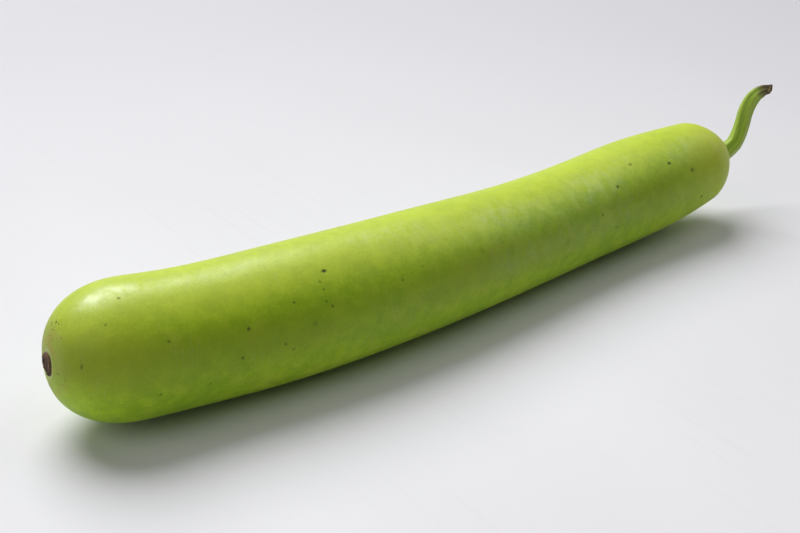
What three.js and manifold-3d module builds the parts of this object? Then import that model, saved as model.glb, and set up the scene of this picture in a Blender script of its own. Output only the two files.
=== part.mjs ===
// A long bottle gourd, as picked: a slim bowed fruit lying on its side, the five-ribbed stem that
// was cut from the vine, and the corky scar that the flower left at the other end.
//
// Units are millimetres and +Z is up. While the pieces are shaped, X runs along the fruit from the
// blossom end to the stem end. The last lines move the origin to the middle of the footprint, on
// the surface that the fruit lies on.

import * as THREE from 'three';
import { mergeVertices } from 'three/addons/utils/BufferGeometryUtils.js';
import Module from 'manifold-3d';

const wasm = await Module();
wasm.setup();

const { clamp, degToRad, lerp, smoothstep } = THREE.MathUtils;

// ---- fruit: length, girth and bow -----------------------------------------------------------
const FRUIT_LENGTH = 470;
// Control radii of a smooth curve, evenly spaced from the blossom end to the stem end.
const GIRTH = [38.3, 34.9, 36.4, 35.4, 33.9, 31.6, 31.2, 32.6, 23.5];
const BLOSSOM_CAP = { length: 46, power: 2.2 };
const STEM_CAP = { length: 25, power: 1.8 };
const BOW = 24.0;
const BOW_TOWARDS_BLOSSOM = 11.8;
// How far each tip turns aside and lifts off the ground, over this share of the length.
const BLOSSOM_TIP = { aside: -17.8, lift: 7 };
const STEM_TIP = { aside: -9.8, lift: 13 };
const END_SHARE = 0.25;
// Shares of the length between which the axis stays one radius above the ground.
const LEVEL_FROM = 0.13;
const LEVEL_TO = 0.88;
const OVAL = 0.006;
const RIPPLE = 0.004;
// The belly is flattened by this much where the fruit lies on the ground.
const FLAT_DEPTH = 0.5;
// Middle of the whole gourd's footprint, where the origin goes.
const FOOTPRINT_CENTRE = [253.65, -19];

// ---- stem ------------------------------------------------------------------------------------
const SEAT = {
  offAxis: 6.5, angle: degToRad(300), radius: 7.2, depth: 1.6, dimpleDepth: 0.8, dimpleRadius: 16,
};
const STEM_ROUTE = [
  [473.3, -6.1, 38.3], [478.1, -6.4, 40.1], [483.3, -6.8, 43.4], [487.6, -6.3, 49.3],
  [490.2, -5.8, 55.4], [493.1, -4.9, 62.6], [496.3, -5, 68.8], [499.6, -6.2, 73.5],
  [503.1, -9, 76.5], [506, -12.8, 78.2],
];
const STEM_RADIUS = [6.3, 5.7, 5.2, 5, 4.9, 4.8, 4.8, 4.6, 4.1, 3];
const STEM_RIBS = 5;
const RIB_HEIGHT = 0.08;
const RIB_TWIST = 0.7;
const CUT_SLANT = -0.5;

// ---- blossom scar ----------------------------------------------------------------------------
const SCAR = {
  offAxis: 2, angle: degToRad(180), radius: 5.9, depth: 0.9, dimpleDepth: 0.4, dimpleRadius: 20,
};
// Height above the fruit's skin at each share of the scar's radius, from the middle outwards.
const SCAR_PROFILE = [[0, 0.6], [0.35, 0.5], [0.62, 0.8], [0.84, 1.1], [0.97, 0.6], [1, -0.3]];
const SCAR_CRUMBLE = 0.2;

// ---- fineness of the faceted surfaces --------------------------------------------------------
const GAP = 0.3;
const FRUIT_SIDES = 40;
const BLOSSOM_RINGS = 9;
const BODY_RINGS = 36;
const STEM_END_RINGS = 8;
const STEM_SIDES = 30;
const STEM_RINGS = 24;
const SCAR_SIDES = 28;

const UP = new THREE.Vector3(0, 0, 1);
const LATHE_AXIS = new THREE.Vector3(0, 1, 0);

// ---- the fruit's form ------------------------------------------------------------------------

// Radius of the fruit before its ends are rounded: a uniform cubic B-spline over GIRTH.
function plainRadius(share) {
  const spans = GIRTH.length - 1;
  const place = clamp(share, 0, 1) * spans;
  const span = Math.min(Math.floor(place), spans - 1);
  const f = place - span;
  const first = 2 * GIRTH[0] - GIRTH[1];
  const last = 2 * GIRTH[spans] - GIRTH[spans - 1];
  const [a, b, c, d] = [first, ...GIRTH, last].slice(span, span + 4);
  return ((1 - f) ** 3 * a + (3 * f ** 3 - 6 * f ** 2 + 4) * b
    + (-3 * f ** 3 + 3 * f ** 2 + 3 * f + 1) * c + f ** 3 * d) / 6;
}

// How much of the plain radius is left at a distance from the tip of a rounded end.
function rounding(distance, cap) {
  const inward = clamp(1 - distance / cap.length, 0, 1);
  return (1 - inward ** cap.power) ** (1 / cap.power);
}

function fruitRadius(x) {
  const ends = rounding(x, BLOSSOM_CAP) * rounding(FRUIT_LENGTH - x, STEM_CAP);
  return plainRadius(x / FRUIT_LENGTH) * ends;
}

// The axis bows sideways, keeps one radius above the ground along the belly, and lifts at its ends.
function axisPoint(x) {
  const share = x / FRUIT_LENGTH;
  const arch = share * (1 - share);
  const bow = -4 * BOW * arch - 8 * BOW_TOWARDS_BLOSSOM * arch * (1 - 2 * share);
  const level = plainRadius(clamp(share, LEVEL_FROM, LEVEL_TO)) - FLAT_DEPTH;
  const atBlossom = Math.max(1 - share / END_SHARE, 0) ** 2;
  const atStem = Math.max(1 - (1 - share) / END_SHARE, 0) ** 2;
  return new THREE.Vector3(
    x,
    bow + BLOSSOM_TIP.aside * atBlossom + STEM_TIP.aside * atStem,
    level + BLOSSOM_TIP.lift * atBlossom + STEM_TIP.lift * atStem,
  );
}

// Slight ovalness and slow waves, as share of the radius.
function unevenness(share, angle) {
  return OVAL * Math.cos(2 * angle - 1.2 + 2 * share)
    + RIPPLE * Math.sin(3 * angle + 11 * share)
    + RIPPLE * Math.cos(angle - 17 * share);
}

// A point of a straight fruit that stands on its axis, moved to the bowed fruit.
function bowedPoint(x, radius, angle) {
  const along = axisPoint(x + 0.5).sub(axisPoint(x - 0.5)).normalize();
  const side = UP.clone().cross(along).normalize();
  const over = along.clone().cross(side);
  const reach = radius * (1 + unevenness(x / FRUIT_LENGTH, angle));
  return axisPoint(x)
    .addScaledVector(side, reach * Math.cos(angle))
    .addScaledVector(over, reach * Math.sin(angle));
}

// Where a scar or a stem sits on one end: its middle on the skin, and Y pointing outwards.
function placeOnEnd(spot, tip, inward) {
  let depth = 0;
  while (fruitRadius(tip + depth * inward) < spot.offAxis) {
    depth += 0.005;
  }
  const x = tip + depth * inward;
  const skin = (at, angle) => bowedPoint(at, fruitRadius(at), angle);
  const round = skin(x, spot.angle + 0.02).sub(skin(x, spot.angle - 0.02));
  const down = skin(x + 0.05 * inward, spot.angle).sub(skin(x, spot.angle));
  const outward = round.cross(down).normalize();
  if (outward.x * inward > 0) {
    outward.negate();
  }
  return { centre: skin(x, spot.angle), outward };
}

// The skin sinks a little towards the stem and towards the scar.
function dimpled(point, spot, place) {
  const distance = point.distanceTo(place.centre);
  const sunk = spot.dimpleDepth * (1 - smoothstep(distance, spot.radius, spot.dimpleRadius));
  return point.addScaledVector(place.outward, -sunk);
}

const seat = placeOnEnd(SEAT, FRUIT_LENGTH, -1);
const scar = placeOnEnd(SCAR, 0, 1);
dimpled(seat.centre, SEAT, seat);
dimpled(scar.centre, SCAR, scar);

// Distances along the axis of the lathe's points: even in angle round both ends.
function ringPlaces() {
  const places = [];
  for (let i = 1; i <= BLOSSOM_RINGS; i += 1) {
    const turn = (i / BLOSSOM_RINGS) * Math.PI / 2;
    places.push(BLOSSOM_CAP.length * (1 - Math.cos(turn) ** (2 / BLOSSOM_CAP.power)));
  }
  const bodyEnd = FRUIT_LENGTH - STEM_CAP.length;
  for (let i = 1; i <= BODY_RINGS; i += 1) {
    places.push(lerp(BLOSSOM_CAP.length, bodyEnd, i / BODY_RINGS));
  }
  for (let i = 1; i < STEM_END_RINGS; i += 1) {
    const turn = (1 - i / STEM_END_RINGS) * Math.PI / 2;
    places.push(FRUIT_LENGTH - STEM_CAP.length * (1 - Math.cos(turn) ** (2 / STEM_CAP.power)));
  }
  return places;
}

// ---- geometry helpers ------------------------------------------------------------------------

function welded(geometry) {
  const bare = geometry.clone();
  bare.deleteAttribute('normal');
  bare.deleteAttribute('uv');
  return mergeVertices(bare, 1e-4);
}

function moveVertices(geometry, move) {
  const position = geometry.getAttribute('position');
  const point = new THREE.Vector3();
  for (let i = 0; i < position.count; i += 1) {
    point.fromBufferAttribute(position, i);
    const moved = move(point);
    position.setXYZ(i, moved.x, moved.y, moved.z);
  }
  return geometry;
}

function solid(geometry) {
  return new wasm.Manifold(new wasm.Mesh({
    numProp: 3,
    vertProperties: new Float32Array(geometry.getAttribute('position').array),
    triVerts: new Uint32Array(geometry.index.array),
  }));
}

function geometryOf(manifold) {
  const mesh = manifold.getMesh();
  const geometry = new THREE.BufferGeometry();
  geometry.setAttribute('position', new THREE.BufferAttribute(mesh.vertProperties, 3));
  geometry.setIndex(new THREE.BufferAttribute(mesh.triVerts, 1));
  return geometry;
}

function standOn(geometry, place) {
  const turn = new THREE.Quaternion().setFromUnitVectors(LATHE_AXIS, place.outward);
  return geometry.applyQuaternion(turn).translate(...place.centre);
}

// A round pocket in an end of the fruit, with its floor one depth below the skin.
function pocket(spot, place) {
  const height = 8;
  const cutter = new THREE.CylinderGeometry(spot.radius, spot.radius, height, SCAR_SIDES);
  cutter.translate(0, height / 2 - spot.depth, 0);
  return solid(standOn(welded(cutter), place));
}

// ---- pieces ----------------------------------------------------------------------------------

function fruit() {
  const outline = ringPlaces().map((x) => new THREE.Vector2(fruitRadius(x), x));
  outline.unshift(new THREE.Vector2(0, 0));
  outline.push(new THREE.Vector2(0, FRUIT_LENGTH));
  const turned = welded(new THREE.LatheGeometry(outline, FRUIT_SIDES));
  const bowed = moveVertices(turned, (point) => {
    const angle = Math.atan2(-point.z, point.x);
    const skin = bowedPoint(point.y, Math.hypot(point.x, point.z), angle);
    return dimpled(dimpled(skin, SEAT, seat), SCAR, scar);
  });
  const ground = new THREE.BoxGeometry(FRUIT_LENGTH * 1.2, 300, 40);
  ground.translate(FRUIT_LENGTH / 2, 0, -20);
  return geometryOf(solid(bowed)
    .subtract(solid(welded(ground)))
    .subtract(pocket(SEAT, seat))
    .subtract(pocket({ ...SCAR, radius: SCAR.radius + GAP }, scar)));
}

// A straight ribbed rod that stands on Y, bent along the route; its last ring is cut aslant.
function stem() {
  const root = seat.centre.clone().addScaledVector(seat.outward, GAP - SEAT.depth);
  const bends = STEM_ROUTE.map((point) => new THREE.Vector3(...point));
  const route = new THREE.CatmullRomCurve3([root, ...bends], false, 'centripetal');
  const thickness = new THREE.SplineCurve(STEM_RADIUS.map((r, i) => new THREE.Vector2(i, r)));
  const frames = route.computeFrenetFrames(STEM_RINGS, false);
  frames.tangents[0] = seat.outward;
  const rod = welded(new THREE.CylinderGeometry(1, 1, 1, STEM_SIDES, STEM_RINGS));
  return moveVertices(rod, (point) => {
    const share = point.y + 0.5;
    const ring = Math.round(share * STEM_RINGS);
    const angle = Math.atan2(-point.z, point.x);
    const rib = 1 + RIB_HEIGHT * Math.cos(STEM_RIBS * (angle + RIB_TWIST * share));
    const reach = Math.hypot(point.x, point.z) * thickness.getPoint(share).y * rib;
    const along = frames.tangents[ring];
    const side = frames.binormals[ring].clone().cross(along).normalize();
    const over = along.clone().cross(side);
    const slant = ring === STEM_RINGS ? CUT_SLANT * reach * Math.cos(angle) : 0;
    return route.getPointAt(share)
      .addScaledVector(side, reach * Math.cos(angle))
      .addScaledVector(over, reach * Math.sin(angle))
      .addScaledVector(along, slant);
  });
}

// A low crust that stands in its pocket, with a crumbled top and edge.
function blossomScar() {
  const floor = GAP - SCAR.depth;
  const outline = [[0, floor], [0.94, floor], ...SCAR_PROFILE.toReversed()];
  const points = outline.map(([share, height]) => new THREE.Vector2(share * SCAR.radius, height));
  const crust = welded(new THREE.LatheGeometry(points, SCAR_SIDES));
  moveVertices(crust, (point) => {
    const angle = Math.atan2(-point.z, point.x);
    const share = Math.hypot(point.x, point.z) / SCAR.radius;
    const height = point.y > 0 ? SCAR_CRUMBLE * Math.sin(7 * angle + 5 * share) : 0;
    const pinch = 1 - 0.05 * share * (1 + Math.sin(5 * angle + 1));
    return point.set(point.x * pinch, point.y + height, point.z * pinch);
  });
  return standOn(crust, scar);
}

// ---- assembly --------------------------------------------------------------------------------

function piece(name, geometry, color, roughness) {
  const material = new THREE.MeshStandardMaterial({ color, roughness, metalness: 0 });
  geometry.computeVertexNormals();
  const mesh = new THREE.Mesh(geometry, material);
  mesh.name = name;
  return mesh;
}

const gourd = new THREE.Group();
gourd.add(piece('fruit', fruit(), '#8fa838', 0.42));
gourd.add(piece('stem', stem(), '#7f9a3a', 0.7));
gourd.add(piece('blossom_scar', blossomScar(), '#5b4326', 0.95));
gourd.position.set(-FOOTPRINT_CENTRE[0], -FOOTPRINT_CENTRE[1], 0);
gourd.updateMatrixWorld(true);

export default gourd;
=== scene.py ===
"""A long bottle gourd lying on its side, with its ribbed stem and the crust of its flower.

Lengths are in metres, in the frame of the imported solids: +X runs along the fruit from the
blossom end to the stem end, +Z is up, and the fruit lies on the plane through the origin.
"""

import math

import bpy
import numpy as np
from bpy.props import FloatProperty, FloatVectorProperty, IntProperty, PointerProperty
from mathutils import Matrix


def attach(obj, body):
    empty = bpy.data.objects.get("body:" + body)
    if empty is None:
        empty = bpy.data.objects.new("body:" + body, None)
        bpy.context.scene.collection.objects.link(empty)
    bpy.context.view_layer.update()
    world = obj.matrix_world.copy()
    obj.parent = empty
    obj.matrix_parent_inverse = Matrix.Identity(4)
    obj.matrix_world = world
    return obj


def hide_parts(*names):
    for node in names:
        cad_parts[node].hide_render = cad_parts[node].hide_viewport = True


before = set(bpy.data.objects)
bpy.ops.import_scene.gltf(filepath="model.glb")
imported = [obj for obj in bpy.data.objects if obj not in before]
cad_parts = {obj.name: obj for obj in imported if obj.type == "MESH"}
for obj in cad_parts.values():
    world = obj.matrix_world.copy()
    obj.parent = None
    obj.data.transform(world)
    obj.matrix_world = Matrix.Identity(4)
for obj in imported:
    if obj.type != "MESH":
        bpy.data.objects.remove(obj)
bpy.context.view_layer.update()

bl_info = {
    "name": "Bottle Gourd",
    "version": (1, 0, 0),
    "blender": (4, 5, 0),
    "location": "View3D > Sidebar > Gourd",
    "description": "Grows a long bottle gourd with its stem and its flower scar",
    "category": "Add Mesh",
}

BODY = "root"
FLOOR_GAP = 0.0001      # between the fruit and the floor
SENSOR_WIDTH = 36.0     # of the camera, in millimetres
UP = np.array([0.0, 0.0, 1.0])

# Attributes that every grown skin carries into its material.
STRAIGHT_PLACE = "straight_place"   # the point before its piece was bowed, in metres
AGE = "age"                         # share of the length, how dried it is, how near the heart


def paint(code):
    """A colour written as six hexadecimal digits, as linear red, green, blue and alpha."""
    channels = [int(code[i:i + 2], 16) / 255 for i in (0, 2, 4)]
    linear = [c / 12.92 if c <= 0.04045 else ((c + 0.055) / 1.055) ** 2.4 for c in channels]
    return (*linear, 1.0)


def in_metres(name, about, default):
    """A property that holds a length in metres."""
    return FloatProperty(name=name, description=about, default=default, unit="LENGTH", precision=5)


def plain(name, about, default):
    """A property that holds a plain number."""
    return FloatProperty(name=name, description=about, default=default, precision=4)


def in_degrees(name, about, degrees):
    """A property that holds an angle, given in degrees."""
    return FloatProperty(
        name=name, description=about, default=math.radians(degrees), subtype="ANGLE", precision=3
    )


def colour(name, about, code):
    """A property that holds a colour."""
    return FloatVectorProperty(
        name=name, description=about, default=paint(code), size=4, subtype="COLOR", min=0, max=1
    )


# ---- what a user would change --------------------------------------------------------------------


class FruitSettings(bpy.types.PropertyGroup):
    """Sizes and colours of the fruit."""

    length: in_metres("Length", "Distance between the tips of the fruit, along its chord", 0.470)
    girth: FloatVectorProperty(
        name="Girth", description="Control radii, from the blossom end to the stem end", size=9,
        default=(0.0383, 0.0349, 0.0364, 0.0354, 0.0339, 0.0316, 0.0312, 0.0326, 0.0235),
    )
    blossom_cap: in_metres("Blossom cap", "Length of the rounded blossom end", 0.046)
    blossom_power: plain("Blossom power", "2 rounds the end as a ball, more is fuller", 2.2)
    stem_cap: in_metres("Stem cap", "Length of the rounded stem end", 0.025)
    stem_power: plain("Stem power", "2 rounds the end as a ball, less is more pointed", 1.8)
    bow: in_metres("Bow", "How far the middle bows sideways", 0.0240)
    bow_to_blossom: in_metres("Bow shift", "Extra bow towards the blossom end", 0.0118)
    blossom_aside: in_metres("Blossom aside", "How far the blossom tip turns aside", -0.0178)
    blossom_lift: in_metres("Blossom lift", "How far the blossom tip lifts off the ground", 0.0070)
    stem_aside: in_metres("Stem aside", "How far the stem tip turns aside", -0.0098)
    stem_lift: in_metres("Stem lift", "How far the stem tip lifts off the ground", 0.0130)
    oval: plain("Oval", "Ovalness, as share of the radius", 0.006)
    ripple: plain("Ripple", "Slow waves, as share of the radius", 0.004)
    flat_depth: in_metres("Flat depth", "How much the belly is flattened where it lies", 0.0005)
    lump_height: in_metres("Lump height", "Depth of the soft unevenness of the skin", 0.0003)
    lump_size: in_metres("Lump size", "Width of that unevenness", 0.030)
    sides: IntProperty(name="Sides", description="Faces round the fruit", default=256)
    rings: IntProperty(name="Rings", description="Rings of faces along the fruit", default=300)
    seed: IntProperty(name="Seed", description="Seed of the random unevenness", default=11)
    light_green: colour("Light green", "Skin where it is palest", "b2d41e")
    deep_green: colour("Deep green", "Skin where it is darkest", "8eb80c")
    end_green: colour("End green", "Yellower skin at both ends", "c9d044")
    # Painted shade: the duller green of a belt along the flanks, where the fruit turns away from the
    # light.
    painted_shade_green: colour("Flank green", "Duller green low on the flanks", "74860a")
    pale_fleck: colour("Pale fleck", "Flecks and thin scars", "c3c98a")
    blossom_tan: colour("Blossom tan", "Speckled ring round the flower scar", "a2903c")
    freckle: colour("Freckle", "Dark freckles", "2a3e06")
    roughness: plain("Roughness", "Roughness of the skin under its wax", 0.48)
    wax: plain("Wax", "How much wax lies on the skin", 1.6)
    wax_roughness: plain("Wax roughness", "Roughness of the wax", 0.38)


class StemSettings(bpy.types.PropertyGroup):
    """Sizes and colours of the stem."""

    ribs: IntProperty(name="Ribs", description="Ribs round the stem", default=5)
    rib_height: plain("Rib height", "Height of the ribs, as share of the radius", 0.08)
    rib_twist: plain("Rib twist", "Turn of the ribs along the stem", 0.7)
    cut_slant: plain("Cut slant", "Slope of the cut face", -0.5)
    sides: IntProperty(name="Sides", description="Faces round the stem", default=120)
    rings: IntProperty(name="Rings", description="Rings of faces along the stem", default=200)
    wrinkle: in_metres("Wrinkle", "Depth of the wrinkles where the stem is fresh", 0.00008)
    hairs: plain("Hairs", "Hairs on a square metre", 7.0e5)
    hair_length: in_metres("Hair length", "Length of the longest hairs", 0.0005)
    hair_tip: colour("Hair tip", "Pale hairs on the stem", "d9dcb8")
    green: colour("Green", "Flanks of the stem", "98b81c")
    rib_green: colour("Rib green", "Paler crests of the ribs", "bacb5a")
    groove_green: colour("Groove green", "Darker grooves between the ribs", "7a9f18")
    wilted: colour("Wilted", "Olive skin where the stem starts to dry", "6f7030")
    dried: colour("Dried", "Shrivelled skin at the cut", "54432a")
    pith: colour("Pith", "Dried pith in the cut face", "a08a62")
    seed: IntProperty(name="Seed", description="Seed of the hairs", default=5)


class ScarSettings(bpy.types.PropertyGroup):
    """Sizes and colours of the flower scar."""

    radius: in_metres("Radius", "Radius of the crust", 0.0059)
    ragged: plain("Ragged", "Unevenness of the edge, as share of the radius", 0.07)
    crumble: in_metres("Crumble", "Height of the crumbs", 0.0010)
    crumb_size: in_metres("Crumb size", "Width of the crumbs", 0.0020)
    sides: IntProperty(name="Sides", description="Faces round the crust", default=160)
    rings: IntProperty(name="Rings", description="Rings of faces from its middle outwards", default=60)
    dark: colour("Dark", "Dark cork", "1f130a")
    brown: colour("Brown", "Paler cork on the crumbs", "7e6148")
    pale: colour("Pale", "Pale specks of dried tissue", "b0926c")
    seed: IntProperty(name="Seed", description="Seed of the crumbs", default=3)


class StageSettings(bpy.types.PropertyGroup):
    """The floor, the lights and the camera."""

    floor_size: in_metres("Floor size", "Side of the floor", 16.0)
    # Painted light: the floor's colour is brightest round one spot and darkens away from it, as a pool
    # of light would.
    floor: colour("Floor", "Pale floor where it is brightest", "e0e0e4")
    far_floor: colour("Far floor", "The same floor further off", "c1c1c6")
    far_glow: plain("Far glow", "Light of the floor's far parts, which no lamp reaches", 0.45)
    brightest: FloatVectorProperty(
        name="Brightest", description="Where the floor is brightest", default=(-0.10, -0.15, 0.0),
        subtype="TRANSLATION",
    )
    fade: in_metres("Fade", "Distance over which the floor fades from there", 1.0)
    glow_from: in_metres("Glow from", "How far off the floor starts to glow", 1.2)
    glow_to: in_metres("Glow to", "How far off it glows in full", 6.0)
    lamp_size: in_metres("Lamp size", "Width of each soft light", 3.4)
    lamp_distance: in_metres("Lamp distance", "From the gourd to each light", 4.0)
    key_power: plain("Key power", "Watts of the main light", 192.0)
    key_elevation: in_degrees("Key elevation", "Height of the main light above the horizon", 54.0)
    key_azimuth: in_degrees("Key azimuth", "Turn of the main light from +Y towards +X", 5.0)
    side_power: plain("Side power", "Watts of the weak light on either side", 32.0)
    side_elevation: in_degrees("Side elevation", "Height of the side lights above the horizon", 40.0)
    side_azimuth: in_degrees("Side azimuth", "Turn of the side lights from +Y to either side", 100.0)
    sky: colour("Sky", "Soft light from all round", "f7f2ec")
    zenith_strength: plain("Zenith strength", "Strength of the sky overhead", 0.10)
    horizon_strength: plain("Horizon strength", "Strength of the sky low down", 0.62)
    front_share: plain("Front share", "Share of the sky's strength that is left in front", 0.50)
    sky_low: plain("Sky low", "Height, from 0 to 1, up to which the sky counts as low", 0.06)
    sky_high: plain("Sky high", "Height from which it counts as overhead", 0.32)
    sky_front: plain("Sky front", "Way along Y, from -1 to 1, up to which it counts as front", -0.7)
    sky_back: plain("Sky back", "Way along Y from which it has its full strength", 0.5)
    lens: plain("Lens", "Focal length in millimetres", 63.0)
    camera_place: FloatVectorProperty(
        name="Camera place", description="Where the camera stands",
        default=(-0.4478, -0.5693, 0.3750), subtype="TRANSLATION",
    )
    camera_elevation: in_degrees("Camera elevation", "How far it looks down", 26.0)
    camera_azimuth: in_degrees("Camera azimuth", "Turn from +Y towards +X", 35.08)


# ---- the fruit's form ----------------------------------------------------------------------------

FOOTPRINT_CENTRE = np.array([0.25365, -0.0190, 0.0])   # the origin, seen from the blossom tip
END_SHARE = 0.25                      # share of the length, at either end, that turns up and aside
LEVEL_FROM, LEVEL_TO = 0.13, 0.88     # shares of the length between which the belly lies level
EVENING_REACH = 0.03                  # share of the length over which that level is evened out
PROBE = 0.0005                        # half the stretch over which a direction is measured

# Where the waves of the skin start, and how far they turn along the fruit, in radians.
OVAL_START, OVAL_TWIST, RIPPLE_TWIST, SWAY_TWIST = 1.2, 2.0, 11.0, 17.0


def plain_radius(share, fruit):
    """Radius before the ends are rounded: a uniform cubic B-spline over the control radii."""
    girth = np.array(fruit.girth)
    spans = len(girth) - 1
    place = np.clip(share, 0, 1) * spans
    span = np.minimum(np.floor(place), spans - 1).astype(int)
    f = place - span
    held = np.concatenate(([2 * girth[0] - girth[1]], girth, [2 * girth[-1] - girth[-2]]))
    a, b, c, d = (held[span + k] for k in range(4))
    return (
        (1 - f) ** 3 * a + (3 * f**3 - 6 * f**2 + 4) * b
        + (-3 * f**3 + 3 * f**2 + 3 * f + 1) * c + f**3 * d
    ) / 6


def rounding(distance, cap, power):
    """How much of the plain radius is left at a distance from the tip of a rounded end."""
    inward = np.clip(1 - distance / cap, 0, 1)
    return (1 - inward**power) ** (1 / power)


def fruit_radius(x, fruit):
    """Radius at a distance from the blossom tip."""
    blossom = rounding(x, fruit.blossom_cap, fruit.blossom_power)
    stem = rounding(fruit.length - x, fruit.stem_cap, fruit.stem_power)
    return plain_radius(x / fruit.length, fruit) * blossom * stem


def resting_height(share, fruit):
    """One plain radius along the belly, evened out so that the axis starts to lift without a kink."""
    heights = [
        plain_radius(np.clip(share + shift, LEVEL_FROM, LEVEL_TO), fruit)
        for shift in np.linspace(-EVENING_REACH, EVENING_REACH, 7)
    ]
    return sum(heights) / len(heights) - fruit.flat_depth


def axis_point(x, fruit):
    """The bowed axis. It keeps one radius above the ground along the belly and lifts at its ends."""
    share = x / fruit.length
    arch = share * (1 - share)
    bow = -4 * fruit.bow * arch - 8 * fruit.bow_to_blossom * arch * (1 - 2 * share)
    level = resting_height(share, fruit)
    blossom = np.maximum(1 - share / END_SHARE, 0) ** 2
    stem = np.maximum(1 - (1 - share) / END_SHARE, 0) ** 2
    y = bow + fruit.blossom_aside * blossom + fruit.stem_aside * stem
    z = level + fruit.blossom_lift * blossom + fruit.stem_lift * stem
    return np.stack([x, y, z], axis=-1) - FOOTPRINT_CENTRE


def unit(vectors):
    """Vectors shortened or stretched to the length 1."""
    return vectors / np.linalg.norm(vectors, axis=-1, keepdims=True)


def axis_frame(x, fruit):
    """Directions along the axis, to its side and over it."""
    along = unit(axis_point(x + PROBE, fruit) - axis_point(x - PROBE, fruit))
    side = unit(np.cross(UP, along))
    return along, side, np.cross(along, side)


def unevenness(angle, share, oval, ripple, cosine, sine):
    """Slow waves round and along a skin, as share of its radius. It takes numbers or terms."""
    return (
        oval * cosine(2.0 * angle - OVAL_START + OVAL_TWIST * share)
        + ripple * sine(3.0 * angle + RIPPLE_TWIST * share)
        + ripple * cosine(angle - SWAY_TWIST * share)
    )


def skin_point(x, angle, fruit):
    """A point of the skin: angle 0 is at the side away from the bow, and 90 degrees is on top."""
    waves = unevenness(angle, x / fruit.length, fruit.oval, fruit.ripple, np.cos, np.sin)
    reach = fruit_radius(x, fruit) * (1 + waves)
    _, side, over = axis_frame(x, fruit)
    return axis_point(x, fruit) + reach * (side * np.cos(angle) + over * np.sin(angle))


def skin_mark(millimetres, degrees, fruit):
    """A point of the skin by its distance from the blossom tip and its turn, as a plain tuple."""
    return tuple(skin_point(np.array(millimetres * 0.001), math.radians(degrees), fruit))


GAP = 0.0003             # between two pieces
POCKET_DEPTH = 0.0006    # of the pocket that the stem or the crust sits in
SPOT_INPUTS = {
    "Centre": (0.0, 0.0, 0.0), "Outward": (0.0, 0.0, 1.0), "Dimple Depth": 0.001, "Radius": 0.006,
    "Dimple Radius": 0.016, "Furrows": 10.0, "Furrow Depth": 0.0, "Pocket Depth": POCKET_DEPTH,
}


class Spot:
    """Where the stem or the scar sits on an end of the fruit: its centre, and the way outwards."""

    deepest = 0.01      # how far in from the tip the search for its place goes
    turn = 0.02         # radians to either side, to measure the way outwards
    step = 0.00005      # metres down the skin, for the same

    def __init__(self, fruit, at_stem_end, off_axis, angle, sizes):
        inward = -1 if at_stem_end else 1
        tip = fruit.length if at_stem_end else 0.0
        depths = np.linspace(0, self.deepest, 20001)
        depth = np.interp(off_axis, fruit_radius(tip + depths * inward, fruit), depths)
        x = tip + depth * inward
        centre = skin_point(x, angle, fruit)
        turned = skin_point(x, angle + self.turn, fruit) - skin_point(x, angle - self.turn, fruit)
        sunk = skin_point(x + self.step * inward, angle, fruit) - centre
        self.outward = unit(np.cross(turned, sunk))
        if self.outward[0] * inward > 0:
            self.outward = -self.outward
        self.centre = centre - self.outward * sizes["Dimple Depth"]
        self.sizes = sizes

    def across(self):
        """Two directions in the spot's plane, with the second a quarter turn round from the first."""
        first = unit(np.cross(UP, self.outward))
        return first, np.cross(self.outward, first)

    def inputs(self, spot):
        """The spot's values for the inputs of the skin's tree that start with its name."""
        values = {"Centre": self.centre, "Outward": self.outward, **self.sizes}
        return {f"{spot} {name}": value for name, value in values.items()}


def stem_seat(fruit):
    """The shallow furrowed seat of the stem, a little below the tip's middle."""
    sizes = {
        "Dimple Depth": 0.0008, "Radius": 0.0072, "Dimple Radius": 0.016, "Furrows": 10.0,
        "Furrow Depth": 0.0004,
    }
    return Spot(fruit, True, 0.0065, math.radians(300), sizes)


def flower_place(fruit):
    """The dimple round the flower's scar, just beside the tip's middle."""
    sizes = {
        "Dimple Depth": 0.0004, "Radius": 0.0059, "Dimple Radius": 0.020, "Furrows": 16.0,
        "Furrow Depth": 0.00005,
    }
    return Spot(fruit, False, 0.0013, math.radians(180), sizes)


# ---- arithmetic that builds node trees -----------------------------------------------------------

NUMBER_FROM_VECTORS = ("LENGTH", "DISTANCE", "DOT_PRODUCT")


class Term:
    """A number, vector or colour in a node tree. Arithmetic on terms adds the nodes for it."""

    def __init__(self, tree, socket):
        self.tree = tree
        self.socket = socket

    def __add__(self, other):
        return calculate("ADD", self, other)

    def __radd__(self, other):
        return calculate("ADD", other, self)

    def __sub__(self, other):
        return calculate("SUBTRACT", self, other)

    def __rsub__(self, other):
        return calculate("SUBTRACT", other, self)

    def __mul__(self, other):
        return calculate("MULTIPLY", self, other)

    def __rmul__(self, other):
        return calculate("MULTIPLY", other, self)

    def __truediv__(self, other):
        return calculate("DIVIDE", self, other)

    def __rtruediv__(self, other):
        return calculate("DIVIDE", other, self)


def is_vector(value):
    """Whether a term, or a plain value, is a vector or a colour."""
    if isinstance(value, Term):
        return value.socket.type in ("VECTOR", "RGBA")
    return hasattr(value, "__len__")


def feed(tree, socket, value):
    """Links a term into a socket, or sets the socket to a plain value."""
    if isinstance(value, Term):
        tree.links.new(value.socket, socket)
    else:
        socket.default_value = value


def calculate(operation, *values):
    """Adds the Math or Vector Math node for an operation and gives its result."""
    tree = next(value.tree for value in values if isinstance(value, Term))
    vectors = any(is_vector(value) for value in values)
    node = tree.nodes.new("ShaderNodeVectorMath" if vectors else "ShaderNodeMath")
    node.operation = operation
    for socket, value in zip(node.inputs, values):
        if vectors and isinstance(value, (int, float)):
            value = (value, value, value)
        feed(tree, socket, value)
    gives_number = not vectors or operation in NUMBER_FROM_VECTORS
    return Term(tree, node.outputs["Value" if gives_number else "Vector"])


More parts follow.
